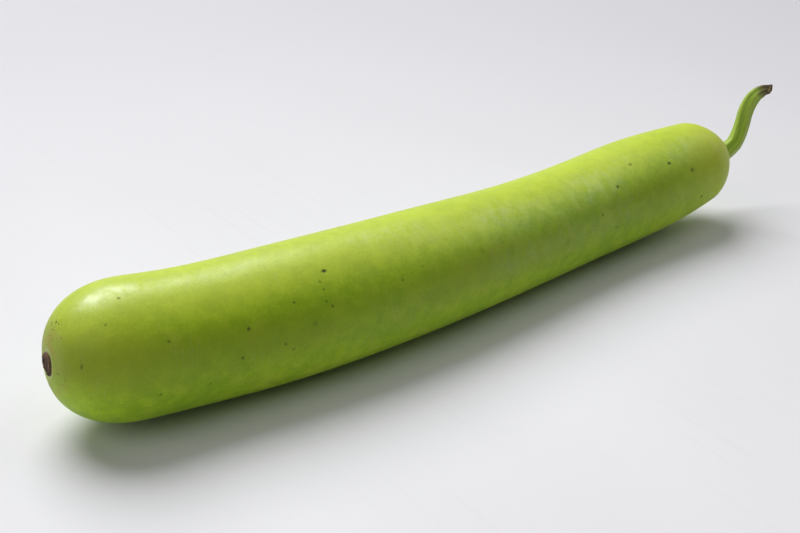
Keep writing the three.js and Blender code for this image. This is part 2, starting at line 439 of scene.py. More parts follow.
def put(tree, kind, inputs=None, output=0, **settings):
    """Adds a node with its settings and inputs, and gives one of its outputs."""
    node = tree.nodes.new(kind)
    for name, value in settings.items():
        setattr(node, name, value)
    for key, value in (inputs or {}).items():
        feed(tree, node.inputs[key], value)
    return Term(tree, node.outputs[output])


def parts_of(vector):
    """The three numbers of a vector."""
    node = vector.tree.nodes.new("ShaderNodeSeparateXYZ")
    vector.tree.links.new(vector.socket, node.inputs[0])
    return [Term(vector.tree, socket) for socket in node.outputs]


def vector_of(tree, x, y, z):
    """A vector made of three numbers."""
    return put(tree, "ShaderNodeCombineXYZ", {0: x, 1: y, 2: z})


def eased(value, start, end, low=0.0, high=1.0):
    """Runs smoothly from low to high as the value goes from start to end."""
    return put(
        value.tree, "ShaderNodeMapRange", {0: value, 1: start, 2: end, 3: low, 4: high},
        interpolation_type="SMOOTHSTEP",
    )


GEOMETRY, MATERIAL = "NodeSocketGeometry", "NodeSocketMaterial"
SOCKET_KINDS = {float: "NodeSocketFloat", int: "NodeSocketInt", tuple: "NodeSocketVector"}


def new_group(name, kind, inputs, outputs):
    """A node group and its input terms by name. A socket is given by its default or by its kind."""
    group = bpy.data.node_groups.new(name, kind)
    for in_out, sockets in (("INPUT", inputs), ("OUTPUT", outputs)):
        for socket_name, given in sockets.items():
            socket_kind = SOCKET_KINDS.get(type(given), given)
            socket = group.interface.new_socket(
                name=socket_name, in_out=in_out, socket_type=socket_kind
            )
            if in_out == "INPUT" and socket_kind is not given:
                socket.default_value = given
    entry = group.nodes.new("NodeGroupInput")
    return group, {socket.name: Term(group, socket) for socket in entry.outputs if socket.name}


def close_group(group, results):
    """Links the results to the group's outputs."""
    exit_node = group.nodes.new("NodeGroupOutput")
    for name, value in results.items():
        feed(group, exit_node.inputs[name], value)
    return group


def use_group(tree, name, inputs):
    """Places a shared group in a tree with its own values. The first use builds the group."""
    kind = "GeometryNodeGroup" if tree.bl_idname == "GeometryNodeTree" else "ShaderNodeGroup"
    node = tree.nodes.new(kind)
    node.node_tree = bpy.data.node_groups.get(name) or SHARED_GROUPS[name]()
    for key, value in inputs.items():
        feed(tree, node.inputs[key], value)
    return Term(tree, node.outputs[0])


def noise(place, seed, scale, detail):
    """Cloudy values from 0 to 1 at a place."""
    return put(
        place.tree, "ShaderNodeTexNoise",
        {"Vector": place, "W": seed, "Scale": scale, "Detail": detail}, noise_dimensions="4D",
    )


# ---- geometry trees ------------------------------------------------------------------------------


def finished(tree, geometry, material):
    """Ends a tree: real, smooth faces with their material."""
    real = put(tree, "GeometryNodeRealizeInstances", {0: geometry})
    smooth = put(tree, "GeometryNodeSetShadeSmooth", {0: real})
    return put(tree, "GeometryNodeSetMaterial", {"Geometry": smooth, "Material": material})


def stored(tree, geometry, name, value):
    """The geometry with a vector kept on its points under a name."""
    return put(
        tree, "GeometryNodeStoreNamedAttribute", {"Geometry": geometry, "Name": name, "Value": value},
        data_type="FLOAT_VECTOR", domain="POINT",
    )


def named(tree, name):
    """The vector that the geometry carries under a name."""
    return put(
        tree, "GeometryNodeInputNamedAttribute", {"Name": name}, data_type="FLOAT_VECTOR"
    )


def moved(tree, geometry, offset):
    """The geometry with its points moved by an offset."""
    return put(tree, "GeometryNodeSetPosition", {"Geometry": geometry, "Offset": offset})


RINGED_INPUTS = {
    "Line": GEOMETRY, "Rings": 60, "Sides": 160, "Oval": 0.0, "Ripple": 0.0, "Ribs": 5.0,
    "Rib Height": 0.0, "Rib Twist": 0.0,
}


def ringed_skin_group():
    """Rings of skin round a line of points that carry a side, an over, a reach and an age."""
    tree, given = new_group(
        "Rings Round a Line", "GeometryNodeTree", RINGED_INPUTS, {"Geometry": GEOMETRY}
    )
    sides, rings = given["Sides"], given["Rings"]
    grid = put(
        tree, "GeometryNodeMeshGrid",
        {"Size X": 1.0, "Size Y": 1.0, "Vertices X": sides + 1, "Vertices Y": rings},
    )
    index = put(tree, "GeometryNodeInputIndex")
    column = calculate("FLOOR", (index + 0.5) / rings)
    ring = index - column * rings
    angle = column / sides * math.tau

    def on_line(value):
        return put(
            tree, "GeometryNodeSampleIndex",
            {"Geometry": given["Line"], "Value": value, "Index": ring},
            data_type="FLOAT_VECTOR", domain="POINT",
        )

    def cosine(term):
        return calculate("COSINE", term)

    def sine(term):
        return calculate("SINE", term)

    centre = on_line(put(tree, "GeometryNodeInputPosition"))
    side, over = on_line(named(tree, "side")), on_line(named(tree, "over"))
    girth, slant, distance = parts_of(on_line(named(tree, "reach")))
    age = on_line(named(tree, AGE))
    share, _, _ = parts_of(age)
    waves = unevenness(angle, share, given["Oval"], given["Ripple"], cosine, sine)
    ribs = given["Rib Height"] * cosine(given["Ribs"] * (angle + given["Rib Twist"] * share))
    reach = girth * (waves + ribs + 1.0)
    to_side, to_over = cosine(angle), sine(angle)
    along = calculate("CROSS_PRODUCT", side, over)
    place = (
        centre + side * (reach * to_side) + over * (reach * to_over)
        + along * (slant * reach * to_side)
    )
    laid = put(tree, "GeometryNodeSetPosition", {"Geometry": grid, "Position": place})
    straight = vector_of(tree, distance, reach * to_side, reach * to_over)
    laid = stored(tree, laid, STRAIGHT_PLACE, straight)
    laid = stored(tree, laid, AGE, age)
    welded = put(tree, "GeometryNodeMergeByDistance", {"Geometry": laid, "Distance": 2e-7})
    return close_group(tree, {"Geometry": welded})


def ringed_skin(tree, given):
    """The rings of skin for a tree that has their inputs, and the place that each point had."""
    skin = use_group(tree, "Rings Round a Line", {name: given[name] for name in RINGED_INPUTS})
    return skin, named(tree, STRAIGHT_PLACE)


def sunk_group():
    """The skin sinks towards a spot, folds into furrows that run to it, and leaves a pocket there."""
    tree, given = new_group(
        "Sunk Round a Spot", "GeometryNodeTree", {"Geometry": GEOMETRY, **SPOT_INPUTS},
        {"Geometry": GEOMETRY},
    )
    outward, radius, depth = given["Outward"], given["Radius"], given["Dimple Depth"]
    offset = put(tree, "GeometryNodeInputPosition") - given["Centre"] - outward * depth
    distance = calculate("LENGTH", offset)
    across = calculate("NORMALIZE", calculate("CROSS_PRODUCT", tuple(UP), outward))
    round_it = calculate("CROSS_PRODUCT", outward, across)
    turn = calculate(
        "ARCTAN2", calculate("DOT_PRODUCT", offset, round_it), calculate("DOT_PRODUCT", offset, across)
    )
    bowl = 1.0 - eased(distance, radius, given["Dimple Radius"])
    pocket = 1.0 - eased(distance, radius * 0.80, radius * 0.98)
    fold = calculate("COSINE", given["Furrows"] * turn) * 0.5 + 0.5
    folded = 1.0 - eased(distance, radius * 0.6, given["Dimple Radius"] * 1.4)
    sunk = (
        depth * bowl + given["Furrow Depth"] * fold * folded + given["Pocket Depth"] * pocket
    )
    return close_group(tree, {"Geometry": moved(tree, given["Geometry"], outward * (0.0 - sunk))})


def skin_tree():
    """The whole skin of the fruit."""
    spots = ("Seat", "Scar")
    spot_inputs = {
        f"{spot} {name}": value for spot in spots for name, value in SPOT_INPUTS.items()
    }
    tree, given = new_group(
        "Gourd Skin", "GeometryNodeTree",
        {**RINGED_INPUTS, "Lump Height": 0.0003, "Lump Size": 0.03, "Seed": 1, **spot_inputs,
         "Material": MATERIAL},
        {"Geometry": GEOMETRY},
    )
    skin, straight = ringed_skin(tree, given)
    lumps = noise(straight * (0.6, 1.0, 1.0), given["Seed"], 1.0 / given["Lump Size"], 2.0)
    normal = put(tree, "GeometryNodeInputNormal")
    skin = moved(tree, skin, normal * (0.0 - given["Lump Height"] * lumps))
    for spot in spots:
        values = {name: given[f"{spot} {name}"] for name in SPOT_INPUTS}
        skin = use_group(tree, "Sunk Round a Spot", {"Geometry": skin, **values})
    x, y, z = parts_of(put(tree, "GeometryNodeInputPosition"))
    level = vector_of(tree, x, y, calculate("MAXIMUM", z, 0.0))
    skin = put(tree, "GeometryNodeSetPosition", {"Geometry": skin, "Position": level})
    return close_group(tree, {"Geometry": finished(tree, skin, given["Material"])})


def stem_tree():
    """The ribbed stem, with strands that wrinkle more where it is dried."""
    tree, given = new_group(
        "Gourd Stem", "GeometryNodeTree",
        {**RINGED_INPUTS, "Wrinkle": 0.0001, "Seed": 1, "Material": MATERIAL},
        {"Geometry": GEOMETRY},
    )
    stem, straight = ringed_skin(tree, given)
    _, dried, _ = parts_of(named(tree, AGE))
    strands = noise(straight * (0.15, 1.0, 1.0), given["Seed"], 900.0, 3.0)
    shrunk = given["Wrinkle"] * (dried * 4.0 + 1.0) * strands
    stem = moved(tree, stem, put(tree, "GeometryNodeInputNormal") * (0.0 - shrunk))
    return close_group(tree, {"Geometry": finished(tree, stem, given["Material"])})


def crust_tree():
    """The crust that the flower left, crumbled into lumps and finer grains."""
    tree, given = new_group(
        "Flower Crust", "GeometryNodeTree",
        {**RINGED_INPUTS, "Outward": (-1.0, 0.0, 0.0), "Crumble": 0.001, "Crumb Size": 0.002,
         "Seed": 1, "Material": MATERIAL},
        {"Geometry": GEOMETRY},
    )
    crust, straight = ringed_skin(tree, given)
    crumbs = put(
        tree, "ShaderNodeTexVoronoi",
        {"Vector": straight, "W": given["Seed"], "Scale": 1.0 / given["Crumb Size"], "Detail": 1.0},
        voronoi_dimensions="4D",
    )
    grains = noise(straight, given["Seed"], 3.0 / given["Crumb Size"], 2.0)
    depth = given["Crumble"] * (eased(crumbs, 0.15, 0.75) * 0.75 + grains * 0.25)
    crust = moved(tree, crust, given["Outward"] * (0.0 - depth))
    return close_group(tree, {"Geometry": finished(tree, crust, given["Material"])})


def bristle_tree():
    """Short tapered hairs that stand on a piece, leaning by chance."""
    tree, given = new_group(
        "Bristles", "GeometryNodeTree",
        {"Ground": GEOMETRY, "Density": 1.0e6, "Length": 0.0006, "Thickness": 0.00003, "Lean": 0.5,
         "Seed": 1, "Material": MATERIAL},
        {"Geometry": GEOMETRY},
    )
    share, dried, heart = parts_of(named(tree, AGE))
    downy = (1.0 - dried) * (1.0 - heart) * eased(share, 0.03, 0.08)
    scatter = tree.nodes.new("GeometryNodeDistributePointsOnFaces")
    feed(tree, scatter.inputs["Mesh"], given["Ground"])
    feed(tree, scatter.inputs["Density"], given["Density"] * downy)
    feed(tree, scatter.inputs["Seed"], given["Seed"])
    hair = put(
        tree, "GeometryNodeMeshCone",
        {"Vertices": 3, "Radius Top": 0.0, "Radius Bottom": given["Thickness"],
         "Depth": given["Length"]},
    )

    def chance(low, high, shift):
        return put(
            tree, "FunctionNodeRandomValue",
            {2: low, 3: high, "Seed": given["Seed"] + shift}, output=1, data_type="FLOAT",
        )

    lean = vector_of(
        tree,
        given["Lean"] * chance(-1.0, 1.0, 1),
        given["Lean"] * chance(-1.0, 1.0, 2),
        chance(0.0, math.tau, 3),
    )
    turned = put(
        tree, "FunctionNodeRotateRotation",
        {0: Term(tree, scatter.outputs["Rotation"]),
         1: put(tree, "FunctionNodeEulerToRotation", {0: lean})},
        rotation_space="LOCAL",
    )
    hairs = put(
        tree, "GeometryNodeInstanceOnPoints",
        {"Points": Term(tree, scatter.outputs["Points"]), "Instance": hair, "Rotation": turned,
         "Scale": chance(0.35, 1.0, 4)},
    )
    return close_group(tree, {"Geometry": finished(tree, hairs, given["Material"])})


# ---- lines that the skins grow round -------------------------------------------------------------


def add_object(name, data):
    """A new object in the scene, unturned and at the origin."""
    thing = bpy.data.objects.new(name, data)
    bpy.context.scene.collection.objects.link(thing)
    return thing


def line_object(name, centres, side, over, girth, slant, distance, age):
    """A mesh of bare points whose attributes say how the skin goes round them."""
    mesh = bpy.data.meshes.new(name)
    mesh.from_pydata([tuple(p) for p in centres], [], [])
    count = len(centres)
    reach = np.stack([girth, np.broadcast_to(slant, count), distance], axis=-1)
    for attribute, values in (("side", side), ("over", over), ("reach", reach), (AGE, age)):
        layer = mesh.attributes.new(attribute, "FLOAT_VECTOR", "POINT")
        spread = np.broadcast_to(values, (count, 3)).astype(np.float32)
        layer.data.foreach_set("vector", spread.ravel())
    return add_object(name, mesh)


def grow(piece, tree, values):
    """Runs a tree on an object and keeps the result as its plain mesh."""
    modifier = piece.modifiers.new(tree.name, "NODES")
    modifier.node_group = tree
    identifiers = {
        item.name: item.identifier for item in tree.interface.items_tree if item.in_out == "INPUT"
    }
    for name, value in values.items():
        modifier[identifiers[name]] = value
    bpy.context.view_layer.update()
    depsgraph = bpy.context.evaluated_depsgraph_get()
    evaluated = piece.evaluated_get(depsgraph)
    mesh = bpy.data.meshes.new_from_object(
        evaluated, preserve_all_data_layers=True, depsgraph=depsgraph
    )
    if not mesh.polygons:
        raise RuntimeError(f"{piece.name} came out with no faces")
    piece.modifiers.clear()
    piece.data = mesh
    mesh.name = piece.name
    return piece


def fruit_line(fruit):
    """The fruit's axis, with rings even in angle round both ends."""
    cap_rings = fruit.rings // 8
    quarter = np.linspace(0, math.pi / 2, cap_rings, endpoint=False)
    blossom = fruit.blossom_cap * (1 - np.cos(quarter) ** (2 / fruit.blossom_power))
    stem = fruit.stem_cap * (1 - np.cos(quarter) ** (2 / fruit.stem_power))
    body_end = fruit.length - fruit.stem_cap
    body = np.linspace(fruit.blossom_cap, body_end, fruit.rings - 2 * cap_rings)
    x = np.concatenate([blossom, body, fruit.length - stem[::-1]])
    _, side, over = axis_frame(x, fruit)
    share = x / fruit.length
    age = np.stack([share, 0 * x, 0 * x], axis=-1)
    return line_object(
        "gourd_skin", axis_point(x, fruit), side, over, fruit_radius(x, fruit), 0.0, x, age
    )


# The middle of the stem, from its seat to the cut, seen from the blossom tip.
STEM_ROUTE = np.array([
    [0.4733, -0.0061, 0.0383], [0.4781, -0.0064, 0.0401], [0.4833, -0.0068, 0.0434],
    [0.4876, -0.0063, 0.0493], [0.4902, -0.0058, 0.0554], [0.4931, -0.0049, 0.0626],
    [0.4963, -0.0050, 0.0688], [0.4996, -0.0062, 0.0735], [0.5031, -0.0090, 0.0765],
    [0.5060, -0.0128, 0.0782],
])
STEM_RADIUS = np.array([6.3, 5.7, 5.2, 5.0, 4.9, 4.8, 4.8, 4.6, 4.1, 3.0]) * 0.001
SEAT_DEPTH = 0.0016      # how far the stem's root goes into the fruit


def smooth_route(points, samples):
    """A centripetal Catmull-Rom curve through the points, at even distances along it."""
    held = np.concatenate([[2 * points[0] - points[1]], points, [2 * points[-1] - points[-2]]])
    curve = []
    for a, b, c, d in zip(held, held[1:], held[2:], held[3:]):
        before, here, after = (math.sqrt(np.linalg.norm(q - p)) for p, q in ((a, b), (b, c), (c, d)))
        leave = ((b - a) / before - (c - a) / (before + here) + (c - b) / here) * here
        arrive = ((c - b) / here - (d - b) / (here + after) + (d - c) / after) * here
        f = np.linspace(0, 1, 60, endpoint=False)[:, None]
        curve.append(
            (2 * f**3 - 3 * f**2 + 1) * b + (f**3 - 2 * f**2 + f) * leave
            + (3 * f**2 - 2 * f**3) * c + (f**3 - f**2) * arrive
        )
    curve = np.concatenate([*curve, points[-1:]])
    walked = np.concatenate([[0], np.cumsum(np.linalg.norm(np.diff(curve, axis=0), axis=1))])
    even = np.linspace(0, walked[-1], samples)
    return np.stack([np.interp(even, walked, curve[:, k]) for k in range(3)], axis=-1), even


def smooth_values(values, share):
    """A uniform Catmull-Rom curve through values that are evenly spaced."""
    held = np.pad(values, 1, mode="edge")
    place = share * (len(values) - 1)
    span = np.minimum(np.floor(place), len(values) - 2).astype(int)
    f = place - span
    a, b, c, d = (held[span + k] for k in range(4))
    return 0.5 * (
        2 * b + (c - a) * f + (2 * a - 5 * b + 4 * c - d) * f**2 + (3 * b - a - 3 * c + d) * f**3
    )


def untwisted_sides(along):
    """A direction square to the line that follows it without twisting."""
    first = np.eye(3)[np.argmin(np.abs(along[0]))]
    sides = [np.cross(along[0], unit(np.cross(along[0], first)))]
    for direction in along[1:]:
        sides.append(unit(sides[-1] - direction * (sides[-1] @ direction)))
    return np.array(sides)


# The cut face from its rim inwards: share of the radius, and depth below the rim.
CUT_FACE = [
    (0.97, -0.0001), (0.90, 0.0), (0.82, 0.0004), (0.70, 0.0009), (0.45, 0.0008), (0.2, 0.0006),
    (0, 0.0006),
]
DRIED_LENGTH = 0.011     # of the stem's end
SLANTED_FROM = 0.4       # share of the dried length where the rings start to slant as the cut does


def stem_line(fruit, stem):
    """The stem's route, from its seat to the cut, and over the cut face to its middle."""
    seat = stem_seat(fruit)
    root = seat.centre + seat.outward * (GAP - SEAT_DEPTH)
    rings = stem.rings - len(CUT_FACE) - 1
    route, walked = smooth_route(np.concatenate([[root], STEM_ROUTE - FOOTPRINT_CENTRE]), rings)
    along = unit(np.gradient(route, axis=0))
    side = untwisted_sides(along)
    share = walked / walked[-1]
    girth = smooth_values(STEM_RADIUS, share)
    dried = np.clip((walked - walked[-1] + DRIED_LENGTH) / DRIED_LENGTH, 0, 1)
    slant = stem.cut_slant * np.clip((dried - SLANTED_FROM) / (1 - SLANTED_FROM), 0, 1)
    age = np.stack([share, dried, 0 * share], axis=-1)

    # One ring closes the root, and the rings of the cut face follow the last of the route.
    cut_share, cut_depth = np.array(CUT_FACE).T
    last = np.ones(len(CUT_FACE))
    centres = np.concatenate([route[:1], route, route[-1] - along[-1] * cut_depth[:, None]])
    sides = np.concatenate([side[:1], side, side[-1] * last[:, None]])
    overs = np.cross(np.concatenate([along[:1], along, along[-1] * last[:, None]]), sides)
    heart = np.stack([last, last, 1 - cut_share], axis=-1)
    return line_object(
        "gourd_stem", centres, sides, overs,
        np.concatenate([[0], girth, girth[-1] * cut_share]),
        np.concatenate([slant[:1], slant, stem.cut_slant * last]),
        np.concatenate([walked[:1], walked, walked[-1] - cut_depth]),
        np.concatenate([age[:1], age, heart]),
    )


# The crust's section from its buried middle round to the top: share of the radius, and height.
CRUST_SECTION = [
    (0, -POCKET_DEPTH), (0.92, -POCKET_DEPTH), (0.98, -0.0003), (0.96, 0.0007), (0.84, 0.0012),
    (0.62, 0.0009), (0.35, 0.0007), (0, 0.0008),
]


def crust_line(place, scar):
    """A line of rings that grow and shrink about one middle, as the crust's section goes."""
    share, height = np.array(CRUST_SECTION).T
    steps = np.hypot(np.diff(share) * scar.radius, np.diff(height))
    walked = np.concatenate([[0], np.cumsum(steps)])
    even = np.linspace(0, walked[-1], scar.rings)
    share, height = np.interp(even, walked, share), np.interp(even, walked, height)
    first, second = place.across()
    age = np.stack([share, 0 * share, 0 * share], axis=-1)
    centres = place.centre + place.outward * height[:, None]
    return line_object(
        "flower_crust", centres, first, second, share * scar.radius, 0.0, height, age
    )


# ---- shader groups -------------------------------------------------------------------------------

EVEN = (1.0, 1.0, 1.0)


def patches_group():
    """Soft irregular patches of one size; more stretch makes them longer in a direction."""
    tree, given = new_group(
        "Patches", "ShaderNodeTree",
        {"Place": (0.0, 0.0, 0.0), "Size": 0.01, "Detail": 2.0, "Seed": 1.0, "Stretch": EVEN},
        {"Mask": 0.0},
    )
    place = given["Place"] / given["Stretch"]
    cloud = noise(place, given["Seed"], 1.0 / given["Size"], given["Detail"])
    return close_group(tree, {"Mask": eased(cloud, 0.3, 0.7)})


def dots_group():
    """Small round dots strewn by chance; only some cells of the spacing carry one."""
    tree, given = new_group(
        "Dots", "ShaderNodeTree",
        {"Place": (0.0, 0.0, 0.0), "Spacing": 0.01, "Radius": 0.001, "Share": 0.5, "Seed": 1.0},
        {"Mask": 0.0},
    )
    cells = tree.nodes.new("ShaderNodeTexVoronoi")
    cells.voronoi_dimensions = "4D"
    feed(tree, cells.inputs["Vector"], given["Place"])
    feed(tree, cells.inputs["W"], given["Seed"])
    feed(tree, cells.inputs["Scale"], 1.0 / given["Spacing"])
    distance = Term(tree, cells.outputs["Distance"]) * given["Spacing"]
    luck, size, _ = parts_of(Term(tree, cells.outputs["Color"]))
    radius = given["Radius"] * (size * 0.7 + 0.3)
    dot = 1.0 - eased(distance, radius * 0.5, radius)
    return close_group(tree, {"Mask": dot * calculate("LESS_THAN", luck, given["Share"])})


def mark_group():
    """One soft ragged mark round a centre, added to the marks before it."""
    tree, given = new_group(
        "Mark", "ShaderNodeTree",
        {"Place": (0.0, 0.0, 0.0), "Centre": (0.0, 0.0, 0.0), "Radius": 0.001, "Stretch": EVEN,
         "Strength": 1.0, "Before": 0.0},
        {"Mask": 0.0},
    )
    rough = put(tree, "ShaderNodeTexNoise", {"Vector": given["Place"], "Scale": 900.0, "Detail": 2.0})
    distance = calculate("LENGTH", (given["Place"] - given["Centre"]) / given["Stretch"])
    distance = distance + (rough - 0.5) * given["Radius"] * 1.1
    dot = 1.0 - eased(distance, given["Radius"] * 0.35, given["Radius"] * 1.55)
    return close_group(
        tree, {"Mask": calculate("MAXIMUM", dot * given["Strength"], given["Before"])}
    )


SHARED_GROUPS = {
    "Rings Round a Line": ringed_skin_group,
    "Sunk Round a Spot": sunk_group,
    "Patches": patches_group,
    "Dots": dots_group,
    "Mark": mark_group,
}


# ---- materials -----------------------------------------------------------------------------------


def patches(place, size, detail, seed, stretch=EVEN):
    """Soft patches on a material, with their size in metres."""
    return use_group(
        place.tree, "Patches",
        {"Place": place, "Size": size, "Detail": detail, "Seed": seed, "Stretch": stretch},
    )


def dots(place, spacing, radius, share, seed):
    """Small dots on a material; the share is that of the cells with a dot."""
    return use_group(
        place.tree, "Dots",
        {"Place": place, "Spacing": spacing, "Radius": radius, "Share": share, "Seed": seed},
    )


def object_place(tree):
    """The place on the object, in metres."""
    return put(tree, "ShaderNodeTexCoord", output=3)


def distance_from(place, point):
    """How far a place is from a point."""
    return calculate("DISTANCE", place, tuple(point))


def new_material(name):
    """A material with its node tree and its shader."""
    material = bpy.data.materials.new(name)
    material.use_nodes = True
    return material, material.node_tree, material.node_tree.nodes["Principled BSDF"]


def blend(share, first, second):
    """Goes from the first colour to the second as the share goes from 0 to 1."""
    return put(
        share.tree, "ShaderNodeMix", {0: share, 6: first, 7: second}, output=2, data_type="RGBA"
    )


def strongest(*masks):
    """The greatest of some masks at each place."""
    most = masks[0]
    for mask in masks[1:]:
        most = calculate("MAXIMUM", most, mask)
    return most


def attribute(tree, name):
    """The vector that the skin carries under a name."""
    return put(tree, "ShaderNodeAttribute", output=1, attribute_name=name)


def bumped(height):
    """A normal that follows a height in metres."""
    return put(
        height.tree, "ShaderNodeBump", {"Strength": 1.0, "Distance": 1.0, "Height": height}
    )


def dress(tree, shader, inputs):
    """Feeds the shader's inputs."""
    for name, value in inputs.items():
        feed(tree, shader.inputs[name], value)


# The marks that stand out: millimetres from the blossom tip, degrees round, radius in
# millimetres, how dark, and how much longer along X and along Z.
ROUND = (1.0, 1.0)
MARKS = [
    (138.5, 126, 0.95, 1.0, (1.6, 0.9)), (134, 134, 0.60, 0.55, ROUND),
    (134.5, 141, 0.65, 0.60, ROUND), (134, 151, 0.65, 0.60, ROUND),
    (136.5, 156, 0.70, 0.60, (1.3, 1.0)), (118, 145, 0.80, 0.65, ROUND),
    (91, 156, 0.85, 0.75, (1.0, 1.4)), (109.5, 176, 0.90, 0.50, ROUND),
    (113.5, 182, 0.80, 0.45, ROUND), (86, 178, 0.85, 0.70, ROUND),
    (69, 195, 0.80, 0.45, ROUND), (178, 152, 0.75, 0.45, ROUND),
    (192, 146, 0.75, 0.40, ROUND), (32.5, 108, 0.85, 0.60, ROUND),
    (22.5, 129, 0.70, 0.50, ROUND), (49.5, 152, 0.75, 0.60, ROUND),
    (44, 194, 0.80, 0.45, ROUND), (402.5, 136, 1.00, 0.85, (1.2, 1.0)),
    (420, 153, 1.20, 0.55, (1.4, 1.0)), (373, 120, 1.00, 0.55, (1.3, 1.0)),
    (352, 138, 1.00, 0.75, (1.2, 1.0)), (426.5, 192, 1.00, 0.65, ROUND),
    (332, 160, 0.90, 0.60, ROUND), (343.5, 180, 1.30, 0.35, ROUND),
    (10, 162, 0.75, 0.50, (1.0, 2.2)), (126, 166, 1.6, 0.25, ROUND),
    (300, 172, 2.2, 0.20, (1.2, 1.0)), (232, 150, 1.8, 0.16, ROUND),
]

# Clusters of fine specks: millimetres from the blossom tip, degrees round, and how far they
# reach in millimetres.
CLUSTERS = [(3.5, 88, 9.0), (2.5, 188, 6.0)]


def skin_greens(fruit, straight, share, mottle, grain):
    """Mottled greens, yellower at both ends, with painted light that makes the top paler and a belt of
    painted shade along the flanks.
    """
    _, _, over = parts_of(straight)
    broad = patches(straight, 0.045, 2.0, 1.0, (1.6, 1.0, 1.0))
    bands = patches(straight, 0.014, 2.0, 10.0, (0.6, 1.6, 1.6))
    light = eased(broad * 0.29 + bands * 0.11 + mottle * 0.34 + grain * 0.26, 0.08, 0.92)
    skin = blend(light, fruit.deep_green, fruit.light_green)
    # Painted light: the upper side is paler, on the top and over both ends, as the light falls from
    # above; the ends' yellower tone itself is the skin's own.
    lit_from_above = eased(over, -0.020, 0.016)
    near_blossom = (1.0 - eased(share, 0.01, 0.18)) * lit_from_above * 0.52
    near_stem = eased(share, 0.80, 1.0)
    painted_top_light = eased(over, 0.017, 0.032) * 0.48
    yellowed = eased(patches(straight, 0.011, 3.0, 21.0), 0.5, 1.0) * 0.22
    pale = strongest(near_blossom, near_stem * (lit_from_above * 0.5 + 0.3), painted_top_light, yellowed)
    skin = blend(pale, skin, fruit.end_green)
    # Painted shade: a belt of duller, darker green along the flanks, where the fruit turns away from
    # the light.
    painted_shade_belt = eased(over, -0.016, 0.006) * (1.0 - eased(over, 0.012, 0.027))
    painted_shade = painted_shade_belt * (0.35 + broad * 0.25) * (1.0 - near_stem * 0.8)
    return blend(painted_shade, skin, fruit.painted_shade_green)


def pale_scars(straight):
    """Thin scars that run round the girth in some places."""
    lines = eased(patches(straight, 0.0011, 2.0, 14.0, (0.35, 9.0, 9.0)), 0.80, 1.0)
    return lines * eased(patches(straight, 0.030, 1.0, 15.0), 0.55, 1.0)


def flower_tinted(fruit, skin, from_flower, mottle):
    """The skin with a broken tan ring and a pale halo round the flower's scar."""
    ring = eased(from_flower, 0.0065, 0.009) * (1.0 - eased(from_flower, 0.011, 0.022))
    halo = 1.0 - eased(from_flower, 0.0062, 0.0085)
    skin = blend(ring * eased(mottle, 0.2, 0.8) * 0.55, skin, fruit.blossom_tan)
    return blend(halo * 0.6, skin, fruit.pale_fleck)


def freckles(fruit, place, straight, from_flower):
    """How dark the freckles are: specks by the flower, a strewn few, clusters and single marks."""
    near_flower = 1.0 - eased(from_flower, 0.014, 0.034)
    speckled = eased(patches(straight, 0.009, 1.0, 19.0), 0.35, 0.75)
    specks = dots(place, 0.0017, 0.00075, 0.6, 7.0) * near_flower * speckled * 0.5
    crowd = dots(place, 0.0012, 0.00072, 0.8, 22.0)
    for along, degrees, reach in CLUSTERS:
        away = distance_from(place, skin_mark(along, degrees, fruit))
        specks = strongest(specks, crowd * (1.0 - eased(away, reach * 0.0004, reach * 0.001)))
    few = dots(place, 0.0105, 0.0008, 0.45, 9.0)
    marks = 0.0
    for along, degrees, radius, strength, (long_x, long_z) in MARKS:
        marks = use_group(
            place.tree, "Mark",
            {"Place": place, "Centre": skin_mark(along, degrees, fruit), "Radius": radius * 0.001,
             "Stretch": (long_x, 1.0, long_z), "Strength": strength, "Before": marks},
        )
    return strongest(specks * 0.85, few * 0.45, marks)


def skin_material(fruit):
    """Freckled green skin under wax that lies in blotches and is rubbed thin low down."""
    material, tree, shader = new_material("waxy green skin")
    place, straight = object_place(tree), attribute(tree, STRAIGHT_PLACE)
    share, _, _ = parts_of(attribute(tree, AGE))
    _, _, over = parts_of(straight)
    from_flower = distance_from(place, flower_place(fruit).centre)
    mottle = patches(straight, 0.0060, 4.0, 2.0)
    grain = patches(straight, 0.0014, 3.0, 3.0)
    scars = pale_scars(straight)
    flecks = dots(place, 0.0042, 0.0008, 0.35, 16.0)
    dark = freckles(fruit, place, straight, from_flower)
    skin = skin_greens(fruit, straight, share, mottle, grain)
    skin = blend(scars * 0.24 + flecks * 0.26, skin, fruit.pale_fleck)
    skin = flower_tinted(fruit, skin, from_flower, mottle)

    blotches = patches(straight, 0.0060, 5.0, 12.0, (0.8, 1.2, 1.2))
    wax = blotches * patches(straight, 0.032, 2.0, 20.0, (1.5, 1.0, 1.0))
    facing = put(tree, "ShaderNodeLayerWeight", {"Blend": 0.5}, output=1)
    gloss = eased(facing, 0.14, 0.46) * (1.0 - eased(facing, 0.38, 0.64) * 0.9)
    unrubbed = eased(over, -0.004, 0.024) * 0.8 + 0.2
    coat = (wax * 1.2 + grain * 0.25 + 0.08) * gloss * unrubbed * fruit.wax * (1.0 - dark)
    relief = mottle * 0.00008 + wax * 0.00004 + grain * 0.00004 - dark * 0.00010 - scars * 0.00004
    dress(tree, shader, {
        "Base Color": blend(dark, skin, fruit.freckle),
        "Roughness": fruit.roughness + grain * 0.10 + dark * 0.2,
        "IOR": 1.38,
        "Coat Weight": coat,
        "Coat Roughness": fruit.wax_roughness,
        "Sheen Weight": 0.07,
        "Sheen Roughness": 0.30,
        "Normal": bumped(relief),
    })
    return material


